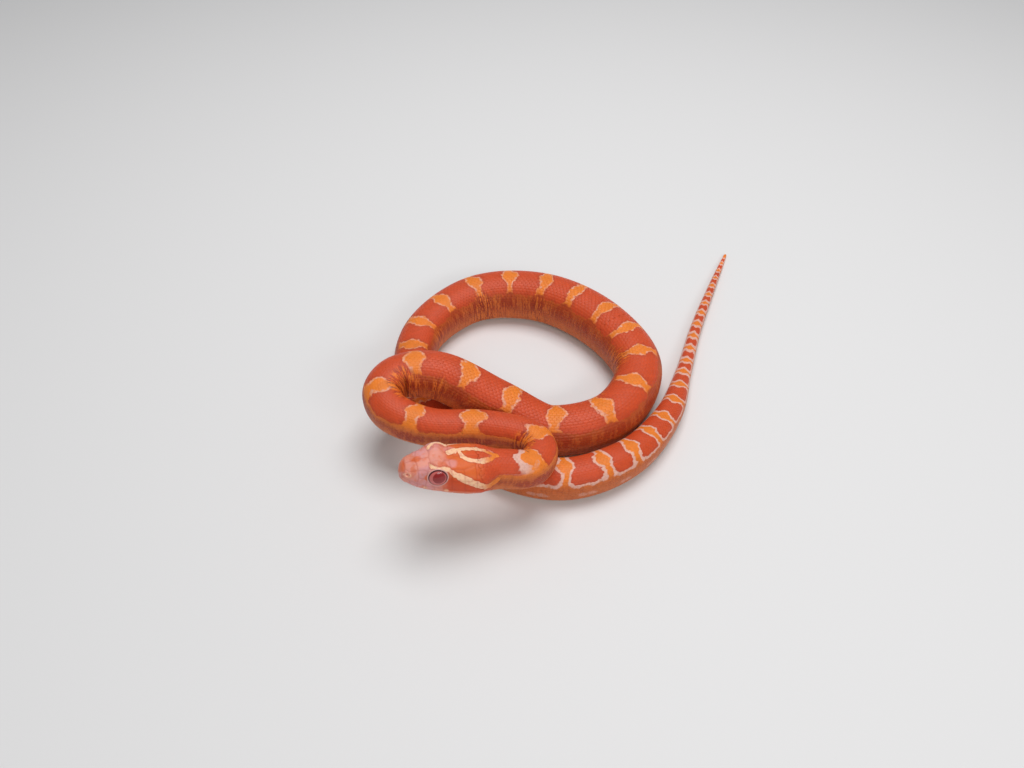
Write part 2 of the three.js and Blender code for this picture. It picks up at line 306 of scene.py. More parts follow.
def surface(distance, around, height):
    """Points anywhere on the snake in the part's frame, in mm. The head lies before distance 0."""
    share = np.clip(1 + distance / HEAD_LENGTH, 0, 1 + NECK_BLEND / HEAD_LENGTH)
    on_head, _ = head_surface(share, around, height)
    on_body = body_surface(np.maximum(distance, 0.01), around, height)
    body_part = ease(0, NECK_BLEND, distance)[..., None]
    return place_head(on_head) * (1 - body_part) + on_body * body_part


def phase_of(distance):
    """A lengthwise place counted in saddles: each gap lies on a whole number, the head before NAPE."""
    places = (-HEAD_LENGTH, 0.0, *GAPS, 3 * GAPS[-1] - 2 * GAPS[-2])
    return np.interp(distance, places, (NAPE - 1, NAPE, *range(len(GAPS)), len(GAPS) + 1))


def linked(name, data):
    """A new object of the scene."""
    thing = bpy.data.objects.new(name, data)
    bpy.context.scene.collection.objects.link(thing)
    return thing


def mesh_from(bm, name):
    mesh = bpy.data.meshes.new(name)
    bm.to_mesh(mesh)
    bm.free()
    return mesh


def read_places(mesh):
    places = np.empty(len(mesh.vertices) * 3)
    mesh.vertices.foreach_get("co", places)
    return places.reshape(-1, 3)


def write_places(mesh, places_mm):
    mesh.vertices.foreach_set("co", (places_mm * MM).ravel())
    mesh.update()


def write_map(mesh, name, places):
    """A UV map from one place for each vertex."""
    corners = np.empty(len(mesh.loops), dtype=np.int32)
    mesh.loops.foreach_get("vertex_index", corners)
    spread = np.ascontiguousarray(places[corners], dtype=np.float32)
    mesh.uv_layers.new(name=name).data.foreach_set("uv", spread.ravel())


def write_tone(mesh, name, values):
    layer = mesh.attributes.new(name=name, type="FLOAT", domain="POINT")
    layer.data.foreach_set("value", np.ascontiguousarray(values, dtype=np.float32))


def finish_piece(name, mesh, material, nodes=()):
    """Puts a finished mesh into the scene, smooth and painted, fixes it to the root and hides the solids it
    takes the place of.
    """
    mesh.shade_smooth()
    mesh.materials.append(material)
    piece = linked(name, mesh)
    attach(piece, "root")
    if nodes:
        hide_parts(*nodes)


# How far the pupil sits off the middle of the eye: towards the tail and up, in mm.
PUPIL_SHIFT = np.array([-0.12, 0.0, 0.16])


def eye_frame(side):
    """The middle and the outward direction of an eye, in the head's frame, in mm."""
    eye = bpy.context.scene.snake_eye
    middle = np.array([HEAD_LENGTH * (1 - eye.at), side * eye.side / MM, eye.up / MM])
    tilt, turn = eye.tilt, eye.turn
    out = np.array([math.sin(turn), side * math.cos(tilt) * math.cos(turn), math.sin(tilt)])
    return middle, unit(out)


def segment_distance(x, y, ends):
    """Distance from each place to the nearest of the joined straight lines through the ends."""
    best = np.full(x.shape, 1e9)
    for (ax, ay), (bx, by) in zip(ends, ends[1:]):
        run = (bx - ax) ** 2 + (by - ay) ** 2
        t = np.clip(((x - ax) * (bx - ax) + (y - ay) * (by - ay)) / run, 0, 1)
        best = np.minimum(best, np.hypot(x - ax - t * (bx - ax), y - ay - t * (by - ay)))
    return best


# Half the way round the head in mm, on the whole and beside the mouth.
HEAD_ROUND = 8.3
LIP_ROUND = 9.0
# Edges of the head's plates as (share of the head's length, share of the way round from the crown).
PLATE_EDGES = [
    [(0.035, 0.0), (0.27, 0.0)],
    [(0.04, 0.0), (0.045, 0.16), (0.03, 0.3)],
    [(0.045, 0.16), (0.08, 0.24), (0.16, 0.22)],
    [(0.135, 0.0), (0.15, 0.1), (0.16, 0.22)],
    [(0.16, 0.22), (0.25, 0.2), (0.27, 0.14)],
    [(0.27, 0.0), (0.28, 0.08), (0.27, 0.14)],
    [(0.28, 0.08), (0.46, 0.06), (0.53, 0.0)],
    [(0.46, 0.06), (0.475, 0.19)],
    [(0.475, 0.19), (0.6, 0.19), (0.72, 0.13), (0.77, 0.05), (0.76, 0.0)],
    [(0.53, 0.0), (0.76, 0.0)],
    [(0.16, 0.22), (0.17, 0.36), (0.16, 0.5)],
    [(0.25, 0.2), (0.245, 0.5)],
    [(0.17, 0.36), (0.245, 0.36)],
    [(0.0, 0.42), (0.05, 0.46), (0.16, 0.5), (0.5, 0.53), (0.72, 0.51), (0.84, 0.5)],
    [(0.475, 0.19), (0.485, 0.36), (0.5, 0.53)],
    [(0.485, 0.36), (0.61, 0.35), (0.62, 0.52)],
    [(0.6, 0.19), (0.61, 0.35), (0.73, 0.33)],
    [(0.72, 0.13), (0.73, 0.33), (0.74, 0.5)],
    [(0.02, 0.72), (0.16, 0.735), (0.5, 0.73), (0.82, 0.72)],
    [(0.08, 1.0), (0.6, 1.0)],
    [(0.3, 1.0), (0.3, 0.86), (0.16, 0.735)],
    [(0.3, 0.86), (0.5, 0.87), (0.56, 1.0)],
]
# Where the plates of the upper and the lower lip end, and the far edges of the two rows of them.
LIP_DIVISIONS = (0.095, 0.165, 0.245, 0.33, 0.42, 0.52, 0.63, 0.74)
CHIN_DIVISIONS = (0.07, 0.14, 0.215, 0.3, 0.4, 0.51, 0.62, 0.72)
LIP_TOP = 0.5
CHIN_EDGE = 0.73
GROOVE_WIDTH = 0.085
# Shallow hollows of the head: middle as shares along and round it, reach along and round and depth, in mm.
HOLLOWS = (
    ((0.2, 0.34), (1.1, 0.75), 0.07),
    ((0.42, 0.0), (2.4, 0.9), 0.06),
    ((0.33, 0.2), (1.5, 0.9), 0.1),
)
# The nostril: share of the head's length and of the way round. Then the pit's depth and reach in mm.
NOSTRIL = (0.066, 0.33)
NOSTRIL_PIT = (0.3, 0.17)
# How far round the middle of an eye the skin is drawn to its rim, and how much higher the brow is, in mm.
SOCKET_REACH = 2.6
BROW_LIFT = 0.04


def plate_grooves(share, around):
    """How deep in the groove between two plates each place on the head lies, from 0 to 1."""
    x, y = share * HEAD_LENGTH, np.abs(around) * HEAD_ROUND
    lines = [[(at, LIP_TOP), (at + 0.1 / HEAD_LENGTH, MOUTH_AT)] for at in LIP_DIVISIONS]
    lines += [[(at, MOUTH_AT), (at + 0.15 / HEAD_LENGTH, CHIN_EDGE)] for at in CHIN_DIVISIONS]
    nearest = np.full(share.shape, 1e9)
    for line in PLATE_EDGES + lines:
        ends = [(a * HEAD_LENGTH, b * HEAD_ROUND) for a, b in line]
        nearest = np.minimum(nearest, segment_distance(x, y, ends))
    return bell(nearest, GROOVE_WIDTH) * ease(0.9, 0.84, share)


def head_relief(share, around):
    """How far the skin stands off the plain form of the head, in mm, and how deep in a groove it lies."""
    sizes = bpy.context.scene.snake_head
    off_mouth = (np.abs(around) - MOUTH_AT) * LIP_ROUND
    closed = ease(MOUTH_CORNER + 0.03, MOUTH_CORNER - 0.04, share)
    grooves = plate_grooves(share, around)
    height = -sizes.plate_groove / MM * grooves * (1 - bell(off_mouth, 0.12) * closed)
    height = height - sizes.mouth_depth / MM * bell(off_mouth, 0.1) * closed
    lips = bell(off_mouth + 0.42, 0.3) + 0.7 * bell(off_mouth - 0.4, 0.28)
    height = height + sizes.lip_swell / MM * lips * closed * ease(0.0, 0.06, share)
    for (at, round_at), (along, across), depth in HOLLOWS:
        near = bell((share - at) * HEAD_LENGTH, along)
        height = height - depth * near * bell((np.abs(around) - round_at) * HEAD_ROUND, across)
    return height, grooves


def sink_nostril(points, normal, side):
    """A pit with a slight swelling round it."""
    nostril, _ = head_surface(np.array(NOSTRIL[0]), np.array(side * NOSTRIL[1]), np.array(0.0))
    away = np.linalg.norm(points - nostril, axis=-1)
    depth, reach = NOSTRIL_PIT
    pit = depth * bell(away, reach) - 0.05 * bell(away - 0.33, 0.12)
    return points - normal * pit[:, None]


def open_socket(points, normal, around, side):
    """Draws the skin round an eye to its rim, and tucks it in behind the eye."""
    eye = bpy.context.scene.snake_eye
    opening = eye.opening / MM
    middle, out = eye_frame(side)
    offset = points - middle
    level = offset @ out
    flat = offset - level[:, None] * out
    radius = np.linalg.norm(flat, axis=-1)
    facing = (normal @ out > -0.2) & (np.sign(around) != -side) & (radius < SOCKET_REACH)
    above = ease(0.2, 0.9, flat[:, 2] / np.maximum(radius, 1e-6))
    rim = eye.rim_level / MM + BROW_LIFT * above
    lifted = rim + (level - rim) * ease(opening + 0.08, opening + 0.85 - 0.4 * above, radius)
    sunk = np.minimum(level, -0.25)
    target = sunk + (lifted - sunk) * ease(opening - 0.12, opening + 0.02, radius)
    return np.where(facing[:, None], points + (target - level)[:, None] * out, points)


def sculpt_head(share, around, tuck):
    """The skin of the head in its own frame: plates, mouth, lips, nostrils and eye sockets."""
    relief, grooves = head_relief(share, around)
    points, normal = head_surface(share, around, relief - tuck)
    for side in (-1, 1):
        points = sink_nostril(points, normal, side)
        points = open_socket(points, normal, around, side)
    return points, grooves


# The solids that skin and scales stand for: all but the eyes.
BODY_NODES = [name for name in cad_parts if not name.startswith("eye_")]
HEAD_RINGS = 200
BODY_RINGS = 360
SKIN_SIDES = 128
# Doubles closer than this in mm are merged where the skin closes round the snake and at its ends.
SEAM = 0.002


class SNAKE_OT_skin(bpy.types.Operator):
    """One skin from the snout to the tip of the tail, with the head's mouth, lips, plates and sockets"""

    bl_idname = "snake.skin"
    bl_label = "Skin"

    def execute(self, context):
        rings = HEAD_RINGS + BODY_RINGS
        bm = bmesh.new()
        bmesh.ops.create_grid(bm, x_segments=rings, y_segments=SKIN_SIDES, size=0.5)
        mesh = mesh_from(bm, "skin")
        ring, column = np.round((read_places(mesh)[:, :2] + 0.5) * (rings, SKIN_SIDES)).T
        around = column / SKIN_SIDES * 2 - 1
        # The rings lie closer on the snout and towards the tip of the tail.
        t = ring / HEAD_RINGS
        share = np.clip(0.35 * t**2 + 0.65 * t, 0, 1)
        u = np.clip((ring - HEAD_RINGS) / BODY_RINGS, 0, 1)
        distance = spine.length * (0.85 * u + 0.15 * u * (2 - u))
        depth = context.scene.snake_body.scale_depth / MM
        tuck = depth * ease(0.0, 0.02, share) * (1 - ease(0.9, 1.0, u) * 0.8)
        head_points, grooves = sculpt_head(share, around, tuck)
        on_head = ring <= HEAD_RINGS
        body_points = surface(distance, around, -tuck)
        points = np.where(on_head[:, None], place_head(head_points), body_points)
        tip, _ = head_surface(np.zeros(1), np.array([0.5]), np.zeros(1))
        points[ring == 0] = place_head(tip)[0]
        points[ring == rings] = points[ring == rings].mean(axis=0)
        place = np.where(on_head, (share - 1) * HEAD_LENGTH, distance)
        write_map(mesh, "Lie", np.stack([phase_of(place), around], axis=-1))
        write_tone(mesh, "groove", np.where(on_head, grooves, 0))
        write_tone(mesh, "fold", fold_of(place, around))
        write_places(mesh, points)
        bm = bmesh.new()
        bm.from_mesh(mesh)
        bmesh.ops.remove_doubles(bm, verts=bm.verts, dist=SEAM * MM)
        bmesh.ops.recalc_face_normals(bm, faces=bm.faces)
        bm.to_mesh(mesh)
        bm.free()
        finish_piece("skin", mesh, skin_material(), BODY_NODES)
        return {"FINISHED"}


def scale_template(name, length, width, thickness, lift):
    """One domed, pointed scale lying along X, in steps of one row and one column, tilted up to its tip."""
    bm = bmesh.new()
    bmesh.ops.create_circle(bm, segments=8, radius=0.5, cap_ends=True)
    bottom = list(bm.verts)
    bmesh.ops.inset_individual(bm, faces=list(bm.faces), thickness=0.1, depth=0.0)
    inner = [vert for vert in bm.verts if vert not in bottom]
    middle = [face for face in bm.faces if set(face.verts) <= set(inner)]
    crown = bmesh.ops.poke(bm, faces=middle)["verts"]
    bmesh.ops.translate(bm, verts=inner + crown, vec=(0.0, 0.0, thickness))
    bmesh.ops.translate(bm, verts=crown, vec=(0.0, 0.0, 0.3 * thickness))
    bmesh.ops.contextual_create(bm, geom=bottom)
    bmesh.ops.recalc_face_normals(bm, faces=bm.faces)
    for vert in bm.verts:
        x, y, z = vert.co
        pointed = 1.0 - 0.3 * max(2 * x, 0) ** 2
        vert.co = (x * length, y * width * pointed, z + lift * (x + 0.5))
    return mesh_from(bm, name)


def repeated(name, template, steps):
    """A template repeated by arrays, one for each step of a count and an offset."""
    one = linked(name, template)
    for count, offset in steps:
        array = one.modifiers.new("array", "ARRAY")
        array.count = count
        array.use_relative_offset = False
        array.use_constant_offset = True
        array.constant_offset_displace = offset
    depsgraph = bpy.context.evaluated_depsgraph_get()
    mesh = bpy.data.meshes.new_from_object(one.evaluated_get(depsgraph))
    bpy.data.objects.remove(one)
    mesh.name = name
    return mesh


def scale_mat(name, rows, columns, *shape):
    """A flat mat of staggered pairs of scales: X counts rows, Y columns, Z is mm."""
    template = scale_template(name + "_one", *shape)
    bm = bmesh.new()
    bm.from_mesh(template)
    bm.from_mesh(template)
    second = list(bm.verts)[len(template.vertices) :]
    bmesh.ops.translate(bm, verts=second, vec=(0.5, 1.0, 0.0))
    pair = mesh_from(bm, name + "_pair")
    steps = (((columns + 1) // 2, (0.0, 2.0, 0.0)), (rows, (1.0, 0.0, 0.0)))
    return repeated(name, pair, steps), len(pair.vertices)


# The unwrap for baking: the whole skin cut into strips, and how far each fills half of its place.
BAKE_STRIPS = 8
BAKE_FILL = 0.49
# How far one row and column of scales, and one belly plate, spread on it.
SCALE_SPREAD = 0.0028
PLATE_SPREAD = 0.0015
# How much of its own length and width the colour of a pair of scales follows.
COLOUR_SPREAD = 0.8
# Width of the body in mm where scales and plates have their full thickness.
FULL_WIDTH = 6.5


def bake_place(distance, around):
    share = np.clip((distance + HEAD_LENGTH) / spine.whole, 0, 0.9999) * BAKE_STRIPS
    strip = np.floor(share)
    return np.stack([share - strip, (strip + 0.5 + around * BAKE_FILL) / BAKE_STRIPS], axis=-1)


def size_at(distance, smallest, largest):
    return np.clip(spine.width(np.maximum(distance, 0)) / FULL_WIDTH, smallest, largest)


class ScaleRun:
    """One run of scales along the body: how its rows and columns lie on the snake."""

    def __init__(self, start, end, columns, reach, pitch_share, shortest):
        self.columns, self.reach = columns, reach
        along = np.linspace(start, end, 400)
        pitch = np.maximum(spine.width(np.maximum(along, 0)) * pitch_share, shortest)
        count = np.concatenate(([0], np.cumsum(np.diff(along) / ((pitch[1:] + pitch[:-1]) / 2))))
        self.rows = int(count[-1])
        self.count, self.along = count * self.rows / count[-1], along

    def distance(self, row):
        """The place of a row, carried straight on past the ends of the run."""
        before = np.minimum(row, 0) * (self.along[1] - self.along[0]) / self.count[1]
        last = (self.along[-1] - self.along[-2]) / (self.count[-1] - self.count[-2])
        after = np.maximum(row - self.rows, 0) * last
        return np.interp(row, self.count, self.along) + before + after

    def around(self, column):
        return (column / (self.columns - 1) * 2 - 1) * self.reach


def lay_out(mesh, places, points, lie, bake, tones):
    """Carries a flat mesh on to the snake and writes what its material reads."""
    write_map(mesh, "Lie", lie)
    write_map(mesh, "OFBake", bake)
    write_tone(mesh, "tone", tones)
    write_tone(mesh, "fold", fold_of(*places))
    write_places(mesh, points)


def cover(name, run, shape, seed, keep=None):
    """Carries a flat mat of scales on to the body. The two scales of a pair share tone, size and root."""
    mesh, per_pair = scale_mat(name, run.rows, run.columns, *shape)
    flat = read_places(mesh)
    pairs = flat.reshape(-1, per_pair, 3)
    pair = np.arange(len(flat)) // per_pair
    root = pairs[:, :, :2].mean(axis=1)[pair]
    distance, around = run.distance(flat[:, 0]), run.around(flat[:, 1])
    root_distance, root_around = run.distance(root[:, 0]), run.around(root[:, 1])
    size = size_at(root_distance, 0.25, 1.15)
    tuck = bpy.context.scene.snake_body.scale_depth / MM * np.clip(size * 2, 0, 1)
    points = surface(distance, around, flat[:, 2] * size - tuck)
    colour_distance = root_distance + (distance - root_distance) * COLOUR_SPREAD
    colour_around = root_around + (around - root_around) * COLOUR_SPREAD
    lie = np.stack([phase_of(colour_distance), colour_around], axis=-1)
    bake = bake_place(root_distance, root_around) + (flat[:, :2] - root) * SCALE_SPREAD
    tones = np.random.default_rng(seed).uniform(-1, 1, len(pairs))[pair]
    lay_out(mesh, (distance, around), points, lie, bake, tones)
    kept = (root[:, 1] <= run.columns - 1 + 0.01) & (np.abs(around) < 1)
    if keep is not None:
        kept &= keep(root_distance, root_around)
    bm = bmesh.new()
    bm.from_mesh(mesh)
    gone = [vert for vert, stays in zip(bm.verts, kept) if not stays]
    bmesh.ops.delete(bm, geom=gone, context="VERTS")
    bm.to_mesh(mesh)
    bm.free()
    finish_piece(name, mesh, skin_material(), BODY_NODES)


def neck_keep(distance, around):
    """The head's plates end here and scales begin: farther forward on the crown than on the cheeks."""
    a = np.abs(around)
    front = np.where(a < 0.28, 0.775, np.where(a < MOUTH_AT, 0.8, 0.845))
    return distance > (front - 1) * HEAD_LENGTH


# The vent's share of the whole length from the snout.
VENT_AT = 0.855


class SNAKE_OT_scales(bpy.types.Operator):
    """The small scales of the back and flanks, in staggered rows that lie towards the tail"""

    bl_idname = "snake.scales"
    bl_label = "Scales"

    def execute(self, context):
        sizes = context.scene.snake_scales
        shape = (sizes.overlap, 2 * sizes.fill, sizes.thickness / MM, sizes.lift / MM)
        vent = spine.whole * VENT_AT - HEAD_LENGTH
        # Start and end in mm, columns, share of the way round, row length as a share of width, shortest row.
        runs = (
            ("neck_scales", ScaleRun(-2.85, 20.0, 31, 0.72, 0.1, 0.3), neck_keep),
            ("forebody_scales", ScaleRun(20.0, 90.0, 35, 0.71, 0.095, 0.3), None),
            ("midbody_scales", ScaleRun(90.0, 150.0, 37, 0.7, 0.09, 0.3), None),
            ("hindbody_scales", ScaleRun(150.0, vent, 33, 0.71, 0.1, 0.26), None),
            ("tail_scales", ScaleRun(vent, spine.length - 0.6, 19, 0.74, 0.17, 0.13), None),
        )
        for seed, (name, run, keep) in enumerate(runs):
            cover(name, run, shape, seed, keep)
        return {"FINISHED"}


# Half the width of a belly plate as a share of the way round, its thickness and how deep it lies, in mm.
BELLY_REACH = 0.315
BELLY_THICKNESS = 0.05
BELLY_TUCK = 0.1
BELLY_SEED = 9


def belly_template(name, lift):
    """One wide plate of the belly: X runs one row, Y from side to side, Z in mm."""
    bm = bmesh.new()
    bmesh.ops.create_grid(bm, x_segments=2, y_segments=14, size=0.5)
    top = bmesh.ops.extrude_face_region(bm, geom=list(bm.faces))["geom"]
    raised = [part for part in top if isinstance(part, bmesh.types.BMVert)]
    bmesh.ops.translate(bm, verts=raised, vec=(0.0, 0.0, BELLY_THICKNESS))
    bmesh.ops.recalc_face_normals(bm, faces=bm.faces)
    for vert in bm.verts:
        x, y, z = vert.co
        edge = 1 - 0.35 * (2 * abs(y)) ** 6
        vert.co = (x * 1.3 * edge, y * 2, z * edge + lift * (x + 0.5))
    return mesh_from(bm, name)


class SNAKE_OT_belly(bpy.types.Operator):
    """The wide plates across the belly, from the throat to the tip of the tail"""

    bl_idname = "snake.belly"
    bl_label = "Belly Plates"

    def execute(self, context):
        run = ScaleRun(-1.2, spine.length - 0.8, 2, 0.3, 0.125, 0.3)
        template = belly_template("belly_plate", context.scene.snake_scales.lift / MM)
        mesh = repeated("belly_plates", template, [(run.rows, (1.0, 0.0, 0.0))])
        flat = read_places(mesh)
        row = np.arange(len(flat)) // len(template.vertices)
        distance, root = run.distance(flat[:, 0]), run.distance(row)
        around = 1 + flat[:, 1] * BELLY_REACH
        size = size_at(root, 0.2, 1.1)
        points = surface(distance, around, flat[:, 2] * size - BELLY_TUCK * np.clip(size * 2, 0, 1))
        points[:, 2] = np.maximum(points[:, 2], 0.0)
        lie = np.stack([phase_of(distance), np.where(around > 1, around - 2, around)], axis=-1)
        spread = np.stack([flat[:, 0] - row, flat[:, 1]], axis=-1) * PLATE_SPREAD
        bake = bake_place(root, np.full(len(root), 0.98)) + spread
        tones = np.random.default_rng(BELLY_SEED).uniform(-1, 1, run.rows + 1)[row]
        lay_out(mesh, (distance, around), points, lie, bake, tones)
        finish_piece("belly_plates", mesh, skin_material(), BODY_NODES)
        return {"FINISHED"}


def eye_matrix(side):
    """From an eye's own frame, with X outwards and in mm, to the part's frame in metres."""
    middle, out = eye_frame(side)
    turn = Vector(out @ HEAD_AXES).to_track_quat("X", "Z").to_matrix().to_4x4()
    return Matrix.Translation(Vector(place_head(middle)) * MM) @ turn @ Matrix.Scale(MM, 4)


# The ring of scales is this much thicker outwards than sideways.
RING_STANDING = 1.25


class SNAKE_OT_eyes(bpy.types.Operator):
    """Both eyes, each a clear domed spectacle with no lids, and the ring of small scales round it"""

    bl_idname = "snake.eyes"
    bl_label = "Eyes"

    def execute(self, context):
        eye = context.scene.snake_eye
        radius, thick = eye.radius / MM, eye.ring / MM
        on_side = Matrix.Rotation(math.pi / 2, 4, "Y")
        on_end = Matrix.Rotation(math.pi / 2, 4, "Z") @ on_side
        domed = Matrix.Diagonal((eye.depth / MM, radius, radius, 1.0)) @ on_side
        standing = Matrix.Diagonal((RING_STANDING * thick, thick, thick, 1.0)) @ on_end
        at_rim = Matrix.Translation((eye.rim_level / MM - 0.02, 0.0, eye.opening / MM + 0.02)) @ standing
        once_round = {"cent": (0, 0, 0), "axis": (1, 0, 0), "angle": math.tau, "steps": 72}
        for side, word in ((1, "left"), (-1, "right")):
            globe = bmesh.new()
            bmesh.ops.create_uvsphere(globe, u_segments=48, v_segments=32, radius=1.0, matrix=domed)
            self.finish(globe, side, "eye_globe_" + word, eye_material(side, word), "eye", ("eye_" + word,))
            ring = bmesh.new()
            bmesh.ops.create_circle(ring, segments=12, radius=1.0, matrix=at_rim)
            bmesh.ops.spin(ring, geom=ring.verts[:] + ring.edges[:], use_merge=True, **once_round)
            bmesh.ops.remove_doubles(ring, verts=ring.verts, dist=1e-4)
            bmesh.ops.recalc_face_normals(ring, faces=ring.faces)
            self.finish(ring, side, "eye_ring_" + word, ring_material(), "head")
        return {"FINISHED"}

    def finish(self, bm, side, name, material, slot_name, nodes=()):
        bmesh.ops.transform(bm, verts=bm.verts, matrix=eye_matrix(side))
        finish_piece(name, mesh_from(bm, name), material, nodes)


# Pale marks of the head, in mm behind the snout and mm round from the middle of the crown.
BROW_STRIPE = [
    (3.5, 1.0), (4.2, 0.72), (4.9, 0.98), (5.5, 1.5),
    (6.3, 2.08), (8.4, 2.95), (10.4, 3.8), (11.9, 3.3),
]
CROWN_MARKS = (
    ([(5.9, -0.5), (6.7, -0.7)], 0.31),
    ([(6.6, -0.62), (7.7, -0.95), (9.3, -0.95), (10.6, -0.65), (12.0, 0.0)], 0.21),
    ([(7.3, -0.7), (7.5, 0.05), (8.3, 0.5), (9.7, 0.7), (10.8, 0.5), (12.0, 0.0)], 0.21),
)
# Soft patches on both sides of the head: colour, middle and radii in mm, where they fade, and strength.
HEAD_PATCHES = (
    ("crown", (0.1, 0.0), (0.6, 2.6), (1.2, 0.55), 0.8),
    ("crown", (2.0, 0.0), (0.65, 0.6), (1.2, 0.55), 0.8),
    ("crown", (3.3, 2.7), (0.5, 0.6), (1.2, 0.55), 0.8),
    ("lilac", (6.1, 0.9), (0.8, 0.55), (1.2, 0.5), 0.6),
    ("cream", (3.1, 4.75), (0.34, 0.42), (1.15, 0.5), 0.7),
    ("cream", (5.6, 4.75), (0.34, 0.42), (1.15, 0.5), 0.7),
)
SKIN_FINISH = {
    "Roughness": 0.42,
    "Specular IOR Level": 0.28,
    "Subsurface Weight": 0.12,
    "Subsurface Scale": 0.0006,
    "Subsurface Radius": (1.0, 0.4, 0.2),
}
EYE_FINISH = {
    "Roughness": 0.35,
    "Specular IOR Level": 0.2,
    "Coat Weight": 0.45,
    "Coat IOR": 1.8,
    "Coat Roughness": 0.03,
}
# Sockets of the colour mix node: factor, lower colour, upper colour, and the result.
MIX_INPUTS = (0, 6, 7)
MIX_RESULT = 2


class Value:
    """One output of a material's nodes. Arithmetic with it adds the nodes that work it out."""

    def __init__(self, recipe, socket):
        self.recipe, self.socket = recipe, socket

    def __add__(self, other):
        return self.recipe.math("ADD", self, other)

    def __sub__(self, other):
        return self.recipe.math("SUBTRACT", self, other)

    def __rsub__(self, other):
        return self.recipe.math("SUBTRACT", other, self)

    def __mul__(self, other):
        return self.recipe.math("MULTIPLY", self, other)

    def __truediv__(self, other):
        return self.recipe.math("DIVIDE", self, other)

    def __abs__(self):
        return self.recipe.math("ABSOLUTE", self)

    __radd__ = __add__
    __rmul__ = __mul__


class Recipe:
    """Adds the nodes of one material. Colours are Values, or names among the snake's colours."""

    def __init__(self, name):
        self.colours = bpy.context.scene.snake_colours
        self.material = bpy.data.materials.new(name)
        self.material.use_nodes = True
        self.tree = self.material.node_tree

    def feed(self, socket, value):
        if isinstance(value, Value):
            self.tree.links.new(value.socket, socket)
        else:
            socket.default_value = value

    def add(self, kind, inputs=(), output=0, **settings):
        node = self.tree.nodes.new(kind)
        for name, value in settings.items():
            setattr(node, name, value)
        for key, value in dict(inputs).items():
            self.feed(node.inputs[key], value)
        return Value(self, node.outputs[output])

    def finish(self, colour, **inputs):
        """Paints the surface, and sets what else it is made of by the names of its inputs."""
        shader = self.tree.nodes["Principled BSDF"]
        for name, value in {"Base Color": colour, **inputs}.items():
            self.feed(shader.inputs[name], value)
        return self.material

    def math(self, operation, *values, clamp=False):
        return self.add("ShaderNodeMath", enumerate(values), operation=operation, use_clamp=clamp)

    def arrow(self, operation, *values, output=0, **named):
        inputs = {**dict(enumerate(values)), **named}
        return self.add("ShaderNodeVectorMath", inputs, output=output, operation=operation)

    def length(self, arrow):
        return self.arrow("LENGTH", arrow, output=1)

    def pair(self, x, y):
        return self.add("ShaderNodeCombineXYZ", {0: x, 1: y})

    def attribute(self, name):
        return self.add("ShaderNodeAttribute", attribute_name=name, output=2)

    def place(self):
        return self.add("ShaderNodeTexCoord", output=3)

    def ramp(self, low, high, value):
        """0 up to low, 1 from high, smooth between. High may be the smaller, which turns it round."""
        inputs = {"Value": value, "From Min": low, "From Max": high}
        return self.add("ShaderNodeMapRange", inputs, interpolation_type="SMOOTHSTEP")

    def over(self, colour, *layers):
        """Layers laid over a colour in turn, each a colour and how much of it shows."""
        for above, shown in layers:
            node = self.tree.nodes.new("ShaderNodeMix")
            node.data_type = "RGBA"
            for index, value in zip(MIX_INPUTS, (shown, colour, above)):
                named = isinstance(value, str)
                shade = (*getattr(self.colours, value), 1.0) if named else value
                self.feed(node.inputs[index], shade)
            colour = Value(self, node.outputs[MIX_RESULT])
        return colour

    def noise(self, scale, detail=2.0, offset=0.0):
        moved = self.arrow("ADD", self.place(), (offset, offset, offset))
        return self.add("ShaderNodeTexNoise", {"Vector": moved, "Scale": scale, "Detail": detail})

    def waver(self, scale, size, detail=2.0, offset=0.0):
        """Noise about 0, for edges that aren't quite straight."""
        return (self.noise(scale, detail, offset) - 0.5) * size

    def oval(self, x, y, middle, radii):
        """1 on the rim of an oval, less inside and more outside."""
        return self.length(self.pair((x - middle[0]) / radii[0], (y - middle[1]) / radii[1]))

    def stroke(self, place, points):
        """Distance to joined straight lines, for a mark drawn as a stroke."""
        nearest = None
        for start, end in zip(points, points[1:]):
            run = (end[0] - start[0], end[1] - start[1], 0.0)
            away = self.arrow("SUBTRACT", place, (*start, 0.0))
            size = run[0] ** 2 + run[1] ** 2
            share = self.math("DIVIDE", self.arrow("DOT_PRODUCT", away, run, output=1), size, clamp=True)
            length = self.length(self.arrow("SUBTRACT", away, self.arrow("SCALE", run, Scale=share)))
            nearest = length if nearest is None else self.math("MINIMUM", nearest, length)
        return nearest

    def off_axis(self, middle, direction):
        """Distance from the line through a place of the head in a direction, both in the head's frame."""
        away = self.arrow("SUBTRACT", self.place(), tuple(place_head(middle) * MM))
        level = self.arrow("DOT_PRODUCT", away, tuple(direction @ HEAD_AXES), output=1)
        length = self.length(away)
        return self.math("SQRT", length * length - level * level)


